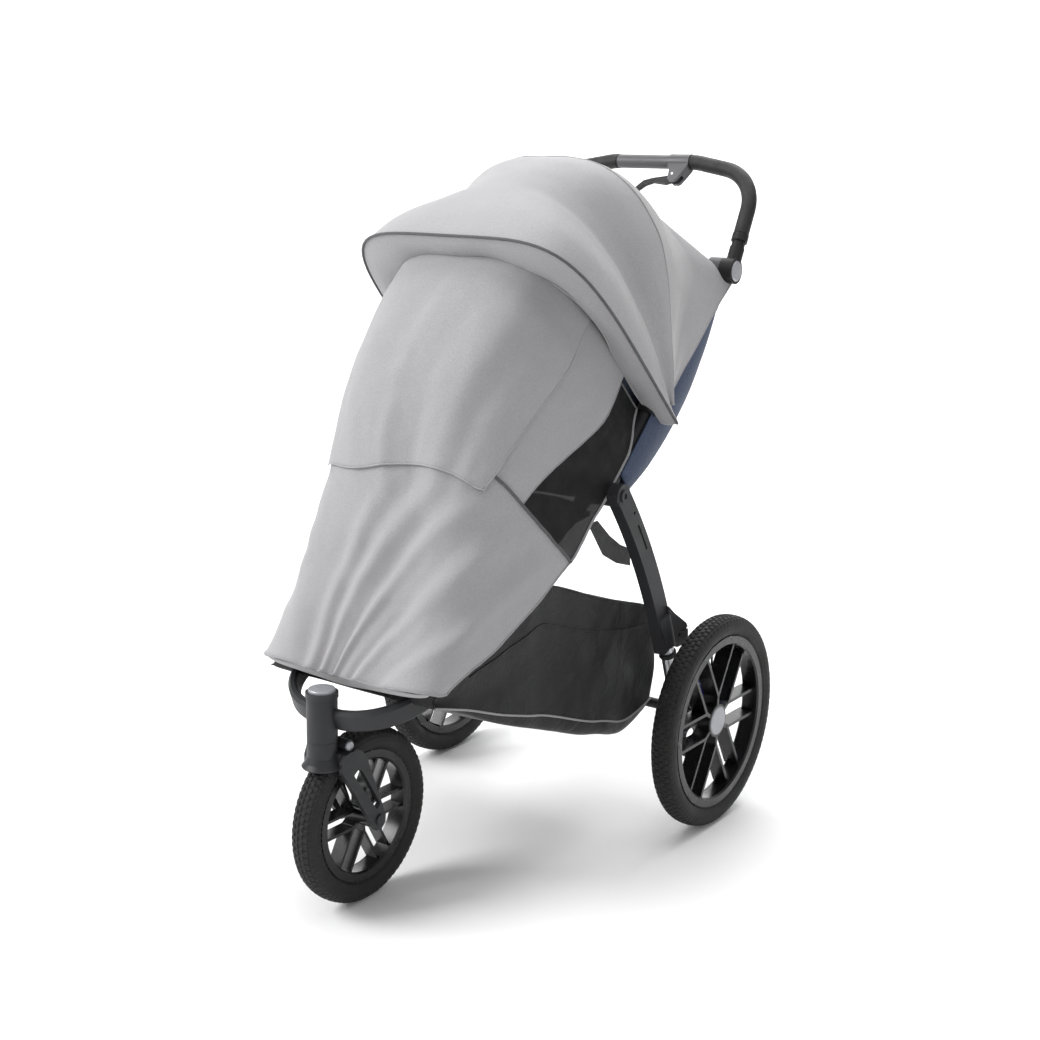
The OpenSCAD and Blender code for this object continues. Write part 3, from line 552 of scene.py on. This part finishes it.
lip = make_lip()
canopy_trims = [tube("canopy_rim_piping", rim_line + np.array([0, -1.5, 0.5]), 2.6, PIPING)]
for name, line, radius in (
        ("canopy_lip_binding", lip_line, 1.8), ("canopy_rear_binding", canopy_pts[-1], 2.0),
        ("canopy_side_binding_left", canopy_pts[:, 0], 1.9),
        ("canopy_side_binding_right", canopy_pts[:, -1], 1.9),
        ("canopy_ridge_seam", canopy_pts[RIDGE_ROW] + np.array([0, 0, 0.6]), 1.1),
        ("canopy_rear_seam", canopy_pts[REAR_SEAM_ROW] + np.array([0, 0, 0.4]), 1.0)):
    canopy_trims.append(tube(name, line, radius, LOOKS["cover_fabric"]))
for o in (canopy, lip, *canopy_trims):
    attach(o, "upper_frame")
    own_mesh(o)

# ---------- cover ----------

# Side view, as (along, up), where t = 0 is the canopy's end of the cover and t = 1 the foot
HEM_T, HEM_ALONG, HEM_UP = (0, 0.45, 1), (158, -86, -384), (804, 576, 402)
HEM_DROP = np.array([13.66, -14.62])  # how far the hem hangs below the tube between the ends
CROWN_TOP, CROWN_FOOT = PIVOT + polar(396, RIM), np.array([-436, 408])
CROWN_OUT = np.array([-0.89, 0.45])
TOP_WIDTH, FOOT_WIDTH, HEM_FLARE = 196, 170, 17
COVER_MIDDLE = (0, -60, 650)
SEAM = 0.465  # t where the upper panel meets the lower one
FLAP_HALF = 40  # degrees of the flap on either side of its middle


def hem(t):
    return np.array([np.interp(t, HEM_T, HEM_ALONG), np.interp(t, HEM_T, HEM_UP)])


def crown(t):
    bulge = 22 * math.sin(math.pi * t) + 28 * math.sin(2 * math.pi * t)
    return CROWN_TOP + (CROWN_FOOT - CROWN_TOP) * t + CROWN_OUT * bulge


def cover_point(t, deg):
    """A point of the cover: t runs from the canopy to the foot, deg round the arch."""
    started = smooth(t, 0.02, 0.16)
    low = 1 - smooth(math.sin(math.radians(deg)), 0.0, 0.7)
    w = TOP_WIDTH + (FOOT_WIDTH - TOP_WIDTH) * t * t
    w += HEM_FLARE * started * low * (1 - 0.5 * smooth(t, 0.6, 1.0))
    base = hem(t) + HEM_DROP * started * (1 - smooth(t, 0.8, 1.0))
    return arch_point(base, crown(t), w, 3.6 + 1.0 * t, deg)


# Pleats of the lower panel: angle at its top, slope, width and height; then streaks of the upper one
PLEATS = ((34, 34, 5.5, 7), (50, 74, 5.0, 8), (66, 96, 6.0, 9), (82, 104, 5.0, 6), (14, 20, 5.0, 6),
          (128, 40, 7.0, 6), (152, 10, 6.0, 5))
STREAKS = ((64, 3.2, 4), (74, 3.5, -4), (84, 3.0, 3.5), (58, 2.6, -3), (98, 5.0, 3), (118, 6.0, -3))


def folds(t, deg, p):
    """Soft folds of the hanging cloth: how far it stands out, in millimetres."""
    x = p[0]
    hang = 6.0 * math.sin(0.021 * x + 3.2 * t + 0.8) + 2.6 * math.sin(0.047 * x - 6 * t)
    drawn = 0.0
    for at, slope, wide, high in PLEATS:
        s = (deg - at - slope * (t - 0.5)) / wide
        drawn += high * (math.exp(-s * s) - 0.45 * math.exp(-(s - 1.7) ** 2))
    drawn *= smooth(t, 0.47, 0.66)
    streaks = sum(high * math.exp(-((deg - at - 8 * math.sin(4 * t)) / wide) ** 2)
                  for at, wide, high in STREAKS)
    streaks *= smooth(t, 0.03, 0.2) * (1 - smooth(t, 0.5, 0.62))
    creases = 2.2 * (1 - abs(wobble(p, 0.011, 40)) * 2.2) + 1.2 * (1 - abs(wobble(p, 0.03, 8)) * 2.2)
    return (hang * smooth(t, 0.0, 0.5) + drawn + streaks + creases * smooth(t, 0.0, 0.1)
            + 3.5 * wobble(p, 0.007, 21))


def same_t(t, deg):
    """The plain shape of a row: the same t at every angle."""
    return t


def cover_grid(name, t_list, edges, cols, look, lift=0.0, thick=0.0012, shape=same_t):
    """A panel of the cover, its points and their normals.

    edges(t) gives the first and last angle of a row, and shape(t, deg) bends the row."""
    places = [[(shape(t, d), d) for d in np.linspace(*edges(t), cols)] for t in t_list]
    pts = np.array([[cover_point(t, d) for t, d in row] for row in places])
    out = normals(pts, pts[len(pts) // 2, cols // 2] - COVER_MIDDLE)
    for i, row in enumerate(places):
        for j, (t, d) in enumerate(row):
            pts[i, j] += out[i, j] * (lift + folds(t, d, pts[i, j]))
    return grid(name, pts, look, thick), pts, out


def window_edge(t):
    return 21 + 19 * smooth(t, 0.02, SEAM)


def flap_edge(t):
    return 90 - FLAP_HALF + 4 * smooth(t, 0, SEAM)


def flap_t(t, deg):
    """The flap's free end hangs lowest to the right of its middle, and its corners are higher."""
    x = (deg - 90) / FLAP_HALF
    dip = 0.035 * math.exp(-((x - 0.45) / 0.4) ** 2) + 0.012 * math.sin(4 * x)
    corner = 1 - smooth(FLAP_HALF - abs(deg - 90), 0, 9)
    return t * (1 + (dip - 0.05 * corner * corner) * smooth(t, 0.2, 0.5))


def make_underside():
    """The cloth that turns in under the foot of the cover."""
    rows = []
    for v in np.linspace(0, 1, 7):
        row = []
        for d in np.linspace(8, 172, 61):
            p = cover_point(1.0, d)
            u = math.sin(math.radians(d))
            row.append(p + np.array([-p[0] * 0.05 * v, 26 * v * u, -4 * v - 20 * v * u]))
        rows.append(row)
    o = grid("cover_underside", rows, LOOKS["cover_fabric"], 0.0014)
    return o


upper_cover, upper_pts = cover_grid(
    "cover_front", np.linspace(0.0, SEAM, 24), lambda t: (window_edge(t), 180 - window_edge(t)), 81,
    LOOKS["cover_fabric"])[:2]
lower_cover, lower_pts, lower_out = cover_grid(
    "cover_foot", np.linspace(SEAM, 1, 34), lambda t: (0, 180), 121, LOOKS["cover_fabric"])
flap, flap_pts = cover_grid(
    "cover_flap_cloth", np.linspace(0.0, 0.515, 30), lambda t: (flap_edge(t), 180 - flap_edge(t)), 71,
    LOOKS["cover_fabric"], lift=5.0, thick=0.0016, shape=flap_t)[:2]
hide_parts("cover_flap")
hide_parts("cover_lower")
flap_outline = np.vstack([flap_pts[:, 0], flap_pts[-1], flap_pts[::-1, -1]])
cover_pieces = [upper_cover, lower_cover, flap,
                tube("cover_flap_hem", flap_outline, 1.5, LOOKS["cover_fabric"])]
for side, edges, outer, inner in (
        ("left", lambda t: (0, window_edge(t)), 0, -1),
        ("right", lambda t: (180 - window_edge(t), 180), -1, 0)):
    net, net_pts = cover_grid("cover_net_" + side, np.linspace(0.03, SEAM, 20), edges, 15,
                              LOOKS["window_mesh"], thick=0)[:2]
    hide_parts("cover_window_" + side)
    hem_line = tube("cover_net_hem_" + side, net_pts[:, outer], 3.0, BINDING, flat=0.6)
    join = tube("cover_net_seam_" + side, net_pts[:, inner], 1.5, BINDING)
    top = tube("cover_net_top_" + side, net_pts[0], 2.0, PIPING)
    cover_pieces += [net, hem_line, join, top]
cover_pieces.append(tube("cover_seam_piping", lower_pts[0] + lower_out[0] * 1.5, 2.6, PIPING))
foot_outline = np.vstack([lower_pts[:, 0], lower_pts[-1], lower_pts[::-1, -1]])
cover_pieces.append(tube("cover_foot_hem", foot_outline, 2.2, BINDING))
cover_pieces.append(make_underside())
for o in cover_pieces:
    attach(o, "front_frame")
    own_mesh(o)

# ---------- seat ----------

SEAT_ROWS, SEAT_COLS = 30, 61
SEAT_START, SEAT_END = 38, 462  # distances from the fold along the upper tubes
SEAT_SEAM_COL = 9
SEAT_BACK_WAY = (0, 0.7, -0.7)


def on_upper(along, perp):
    return FOLD + UP_DIR * along + np.array([UP_DIR[1], -UP_DIR[0]]) * perp


def seat_depth(t):
    return 172 * math.sin(math.radians(180 * t ** 0.8 * 0.985)) ** 0.62 * (0.62 + 0.42 * t)


def make_seat_shell():
    rows = []
    for t in np.linspace(0, 1, SEAT_ROWS):
        along = SEAT_START + (SEAT_END - SEAT_START) * t
        base, back = on_upper(along, -8), on_upper(along, 18 + seat_depth(0.1 + 0.83 * t))
        row = []
        for d in np.linspace(0, 180, SEAT_COLS):
            depth = smooth(math.sin(math.radians(d)), 0.1, 0.9)
            row.append(arch_point(base, back, 217 - 14 * depth, 3.4, d))
        rows.append(row)
    pts = np.array(rows)
    out = normals(pts, SEAT_BACK_WAY)
    for i in range(SEAT_ROWS):
        for j in range(SEAT_COLS):
            ripple = 1.8 * wobble(pts[i, j], 0.014, 31) * math.sin(math.pi * j / (SEAT_COLS - 1))
            pts[i, j] += out[i, j] * ripple
    return grid("seat_back_cloth", pts, LOOKS["seat_fabric"], 0.0016), pts


seat_shell, seat_pts = make_seat_shell()
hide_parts("seat_shell")
seat_trims = [tube(name, line, radius, LOOKS["seat_fabric"]) for name, line, radius in (
    ("seat_back_top_hem", seat_pts[-1], 2.2), ("seat_back_bottom_hem", seat_pts[0], 2.2),
    ("seat_back_seam_left", seat_pts[:, SEAT_SEAM_COL], 1.2),
    ("seat_back_seam_right", seat_pts[:, -1 - SEAT_SEAM_COL], 1.2))]
for o in (seat_shell, *seat_trims):
    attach(o, "upper_frame")
    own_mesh(o)

REMESH_SIZE = 0.008
CLOTH_FRAMES, CLOTH_PRESSURE, CLOTH_QUALITY = 15, 4, 5


def inner_copy(name, node, inset):
    """A copy of a CAD solid with its faces moved in by about inset metres."""
    me = frame["nodes"][node].data.copy()
    me.materials.clear()
    me.materials.append(LOOKS["seat_fabric"])
    o = bpy.data.objects.new(name, me)
    scene.collection.objects.link(o)
    lo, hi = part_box(node)
    mid = (lo + hi) / 2
    keep = [max(0.2, 1 - 2 * inset / max(1e-4, size)) for size in hi - lo]
    for v in me.vertices:
        v.co = mid + Vector([x * k for x, k in zip(v.co - mid, keep)])
    return o


def bake(o):
    """Put what the modifiers make into the object's own mesh."""
    dg = bpy.context.evaluated_depsgraph_get()
    me = bpy.data.meshes.new_from_object(o.evaluated_get(dg))
    o.modifiers.clear()
    o.data = me
    return np.array([v.co for v in me.vertices], float)


def inflate(name, node, body, inset, cap):
    """A stuffed pad from a CAD solid: shrunk, remeshed, then swelled by cloth pressure up to a cap."""
    o = inner_copy(name, node, inset)
    r = o.modifiers.new("remesh", "REMESH")
    r.mode, r.voxel_size = "VOXEL", REMESH_SIZE
    rest = bake(o)
    c = o.modifiers.new("cloth", "CLOTH")
    c.settings.use_pressure = True
    c.settings.uniform_pressure_force = CLOTH_PRESSURE
    c.settings.effector_weights.gravity = 0
    c.settings.quality = CLOTH_QUALITY
    c.collision_settings.use_collision = False
    for f in range(1, CLOTH_FRAMES + 1):
        scene.frame_set(f)
    move = bake(o) - rest
    scene.frame_set(1)
    far = np.linalg.norm(move, axis=1)[:, None]
    co = rest + move * np.minimum(1, cap / np.maximum(far, 1e-6))
    o.data.vertices.foreach_set("co", co.ravel())
    o.data.polygons.foreach_set("use_smooth", [True] * len(o.data.polygons))
    s = o.modifiers.new("smooth", "SMOOTH")
    s.factor, s.iterations = 0.5, 4
    s = o.modifiers.new("soft", "SUBSURF")
    s.levels = s.render_levels = 1
    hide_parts(node)
    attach(o, body)


inflate("seat_pad", "seat_cushion", "front_frame", inset=0.006, cap=0.008)
inflate("backrest_cushion", "backrest_pad", "backrest", inset=0.005, cap=0.008)

# ---------- basket ----------

# Side view of the bag's upper and lower edges, from the front to the rear
BAG_TOP = [(-395, 398), (-300, 436), (-210, 486), (-144, 520), (-99, 515), (27, 469), (120, 440),
           (176, 423), (207, 408)]
BAG_BOTTOM = [(-395, 376), (-319, 347), (-228, 305), (-101, 258), (5, 218), (70, 200), (128, 182),
              (170, 186), (222, 205)]
BAG_ROWS, SIDE_COLS, FLOOR_COLS = 49, 19, 25
HALF_WIDTH_MOST, REAR_HALF_WIDTH, REAR_HEM_HALF = 205, 204, 203
REAR_BOW = 7


def basket_half(y):
    return np.interp(y, [-400, -170, 240], [183, REAR_HALF_WIDTH, REAR_HALF_WIDTH])


def bag_side(u, top, bottom):
    """Points down the left side of the bag, u of the way from its front to its rear."""
    rear = smooth(u, 0.9, 1.0)
    side = []
    for v in np.linspace(0, 1, SIDE_COLS):
        y, z = top + (bottom - top) * v
        y += 20 * math.sin(math.pi * v) * rear
        tuck = 10 * smooth(v, 0.86, 1.0) ** 2 + 7 * math.sin(math.pi * v) * (1 - rear)
        x = basket_half(y) - tuck
        x += 5.0 * wobble((x, y, z), 0.008, 50) + 2.6 * wobble((x, y, z), 0.02, 61) - 5
        side.append(np.array([min(x, HALF_WIDTH_MOST), y, z]))
    return side


def across(p, w, back=0.0):
    """The point w of the way from a point on the left to its mirror image, moved back."""
    return np.array([p[0] * (1 - 2 * w), p[1] + back, p[2]])


def make_basket():
    rows = []
    tops, bottoms = spline(BAG_TOP, BAG_ROWS), spline(BAG_BOTTOM, BAG_ROWS)
    for u, top, bottom in zip(np.linspace(0, 1, BAG_ROWS), tops, bottoms):
        left = bag_side(u, top, bottom)
        row = list(left)
        for w in np.linspace(0, 1, FLOOR_COLS)[1:-1]:
            p = across(left[-1], w)
            sag = -6 * math.sin(math.pi * w) * math.sin(math.pi * u)
            row.append(p + np.array([0, 0, sag + 1.5 * wobble(p, 0.012, 70)]))
        row += [across(p, 1) for p in left[::-1]]
        rows.append(row)
    pts = np.array(rows)
    rear_rows = [[across(p, w, REAR_BOW * math.sin(math.pi * w)) for w in np.linspace(0, 1, 31)]
                 for p in pts[-1, :SIDE_COLS]]
    front_rows = [[across(p, w) for w in np.linspace(0, 1, 21)] for p in pts[0, :SIDE_COLS:3]]
    bag = grid("basket_bag", rows, LOOKS["basket_fabric"], 0.0016)
    wall = grid("basket_rear_wall", rear_rows, LOOKS["basket_fabric"], 0.0016)
    front = grid("basket_front_wall", front_rows, LOOKS["basket_fabric"], 0.0016)
    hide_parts("basket")
    return [bag, wall, front], pts


basket_pieces, bag_pts = make_basket()
for side, cols, sign in (("left", bag_pts, 1), ("right", bag_pts[:, ::-1], -1)):
    lift = np.array([1.2 * sign, 0, 0])
    seam = []
    for i in range(6, BAG_ROWS):
        at = (0.16 + 0.10 * math.sin(math.pi * i / (BAG_ROWS - 1))) * (SIDE_COLS - 1)
        a, b = cols[i, int(at)], cols[i, int(at) + 1]
        seam.append(a + (b - a) * (at - int(at)) + lift)
    basket_pieces += [
        tube("basket_top_hem_" + side, cols[:, 0] + lift, 2.4, LOOKS["basket_fabric"]),
        tube("basket_piping_" + side, cols[:, SIDE_COLS - 3] + lift, 1.8, BINDING),
        tube("basket_seam_" + side, seam, 1.3, LOOKS["basket_fabric"])]
rear_y, rear_z = BAG_TOP[-1]
rear_hem = [(x, rear_y + REAR_BOW * math.cos(math.pi * x / (2 * REAR_HALF_WIDTH)), rear_z)
            for x in np.linspace(-REAR_HEM_HALF, REAR_HEM_HALF, 31)]
basket_pieces.append(tube("basket_rear_hem", rear_hem, 2.6, LOOKS["basket_fabric"]))
for o in basket_pieces:
    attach(o, "front_frame")

# ---------- tyres ----------

# Half of a tyre's section, from the bead to the middle of the tread: distance across, then out from
# the inner radius for the wall and in from the outer radius for the tread
WALL = ((-15, 0.5), (-19.5, 5), (-22.4, 14))
TREAD = ((-22.6, 17), (-21.3, 10), (-18.5, 5.5), (-16.8, 4.0), (-15.4, 3.2), (-9.6, 1.2), (-8.6, 1.0),
         (-7.4, 0.9), (-2.0, 0.3), (-1.0, 0.3))
STEPS = 4  # steps of the mesh round each tread block
GROOVE, MIDDLE_CUT, EDGE_CUT, SHOULDER_CUT = 2.0, 2.4, 2.6, 1.6
RIB = 1.012  # a rib of the shoulder is this much wider than the tyre between the ribs


def tread_cut(x, r, k, outer):
    """Depth of the tread pattern at a point of the section, k steps round the tyre."""
    zone = abs(x)
    if zone < 1.5 or 8.2 < zone < 9.0 or 16 < zone < 17.5:
        return GROOVE
    if zone < 8.2:
        return MIDDLE_CUT if k % STEPS == (2 if x > 0 else 0) else 0
    if zone < 16:
        return EDGE_CUT if k % STEPS == (0 if x > 0 else 2) else 0
    if zone < 22 and r > outer - 12:
        return SHOULDER_CUT if k % STEPS == 1 else 0
    return 0


def make_tyre(name, node, body, centre, outer, inner, blocks):
    profile = [(x, inner + r) for x, r in WALL] + [(x, outer - r) for x, r in TREAD]
    profile += [(-x, r) for x, r in profile[::-1]]
    rows = []
    for k in range(STEPS * blocks):
        a = 2 * math.pi * k / (STEPS * blocks)
        row = []
        for x, r in profile:
            if k % 2 and outer - 20 < r < outer - 12:
                x *= RIB
            else:
                r -= tread_cut(x, r, k, outer)
            row.append((centre[0] + x, centre[1] + r * math.cos(a), centre[2] + r * math.sin(a)))
        rows.append(row)
    o = grid(name, rows, LOOKS["tyre_rubber"], 0, close_rows=True, close_cols=True, level=0)
    o.data.polygons.foreach_set("use_smooth", [False] * len(o.data.polygons))
    b = o.modifiers.new("edges", "BEVEL")
    b.width, b.segments, b.limit_method, b.angle_limit = 0.0004, 1, "ANGLE", math.radians(30)
    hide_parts(node)
    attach(o, body)


for side, s in (("left", 1), ("right", -1)):
    make_tyre("rear_tyre_tread_" + side, "rear_tyre_" + side, "rear_wheel_" + side,
              centre=(312 * s, 266, 200), outer=200, inner=162.2, blocks=96)
make_tyre("front_tyre_tread", "front_tyre", "front_wheel",
          centre=(0, -374, 150), outer=150, inner=112, blocks=76)

# ---------- grips ----------

SLOPE = math.radians(63.4)
GRIP_RADIUS, SEAM_RADIUS, SEAM_OFF = 14.5, 0.8, -14.2


def on_bar(x, d, off=0.0):
    """A point of the handlebar's plane, x across and d up the slope from the hubs, moved off it."""
    y = HUB[0] + d * math.cos(SLOPE) - off * math.sin(SLOPE)
    z = HUB[1] + d * math.sin(SLOPE) + off * math.cos(SLOPE)
    return np.array([x, y, z])


def bar_line():
    """The grip's centreline from the collar to the bare middle, as (across, up the slope)."""
    dip, bend, blend, mid, leg, rise = math.radians(11), 84, 120, 82, 228, 217
    drop = blend * (1 - math.cos(dip))
    blend_x = mid + blend * math.sin(dip)
    bend_x = leg - bend * (1 - math.sin(dip))
    bend_z = rise - drop - (bend_x - blend_x) * math.tan(dip)
    leg_z = bend_z - bend * math.cos(dip)
    pts = [(leg, z) for z in np.linspace(72, leg_z, 8)]
    pts += [(leg - bend + bend * math.cos(a), leg_z + bend * math.sin(a))
            for a in np.linspace(0, math.pi / 2 - dip, 14)[1:]]
    pts += [(bend_x + (blend_x - bend_x) * u, bend_z + (rise - drop - bend_z) * u)
            for u in np.linspace(0, 1, 6)[1:]]
    pts += [(mid + blend * math.cos(a), rise - blend + blend * math.sin(a))
            for a in np.linspace(math.pi / 2 - dip, math.pi / 2, 5)[1:]]
    return spline(pts, 70)


def make_grips():
    line = bar_line()
    for side, s in (("left", 1), ("right", -1)):
        cover = tube("grip_cover_" + side, [on_bar(x * s, d) for x, d in line], GRIP_RADIUS,
                     LOOKS["grip_cover"], 24)
        seam = tube("grip_seam_" + side, [on_bar(x * s, d, SEAM_OFF) for x, d in line], SEAM_RADIUS,
                    LOOKS["grip_cover"], 6)
        for o in (cover, seam):
            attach(o, "handlebar")
    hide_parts("grips")


make_grips()

# ---------- stage ----------

LAMPS = (  # name, place, what it is aimed at, size and watts
    ("key", (-2.6, -3.0, 3.2), (0, 0, 0.6), 2.4, 205),
    ("top", (0.4, 0.2, 4.2), (0, 0, 0.6), 3.0, 76),
    ("fill", (3.4, -1.4, 2.2), (0, 0, 0.6), 2.4, 14),
    ("back", (-1.0, 3.2, 5.0), (-2, 5, 1.4), 4.0, 260))
WALL_BEND_START, WALL_BEND_RADIUS, WALL_HEIGHT = 2.6, 2.2, 9
FLOOR_FRONT, FLOOR_HALF_WIDTH = -9, 11
SKY_STRENGTH = 0.42


def make_floor():
    """A light floor that curves up into a wall behind the stroller."""
    s = Shade("floor_look")
    s.colour(s.mix(s.range(s.noise(2, 3), 0.3, 0.7, 0, 1), (0.93, 0.93, 0.93), (0.95, 0.95, 0.95)))
    s.rough(s.noise(6), 0.75, 0.85)
    profile = [(FLOOR_FRONT, 0), (WALL_BEND_START, 0)]
    profile += [(WALL_BEND_START + WALL_BEND_RADIUS * math.sin(a), WALL_BEND_RADIUS * (1 - math.cos(a)))
                for a in np.linspace(0.1, math.pi / 2, 12)]
    profile.append((WALL_BEND_START + WALL_BEND_RADIUS, WALL_HEIGHT))
    turn = Matrix.Rotation(CAMERA_AZ, 3, "Z")
    verts = [turn @ Vector((x, y, z)) for y, z in profile for x in (-FLOOR_HALF_WIDTH, FLOOR_HALF_WIDTH)]
    faces = [(2 * i, 2 * i + 1, 2 * i + 3, 2 * i + 2) for i in range(len(profile) - 1)]
    new_mesh("floor", verts, faces, s.mat)


def make_lights():
    world = bpy.data.worlds.new("world")
    world.use_nodes = True
    world.node_tree.nodes["Background"].inputs[0].default_value = (1, 1, 1, 1)
    world.node_tree.nodes["Background"].inputs[1].default_value = SKY_STRENGTH
    scene.world = world
    for name, at, to, size, watts in LAMPS:
        data = bpy.data.lights.new(name, "AREA")
        data.energy, data.size = watts, size
        light = bpy.data.objects.new(name, data)
        scene.collection.objects.link(light)
        light.location = at
        light.rotation_mode = "QUATERNION"
        light.rotation_quaternion = (Vector(at) - Vector(to)).to_track_quat("Z", "Y")


make_floor()
make_lights()
scene.view_settings.view_transform = "Standard"
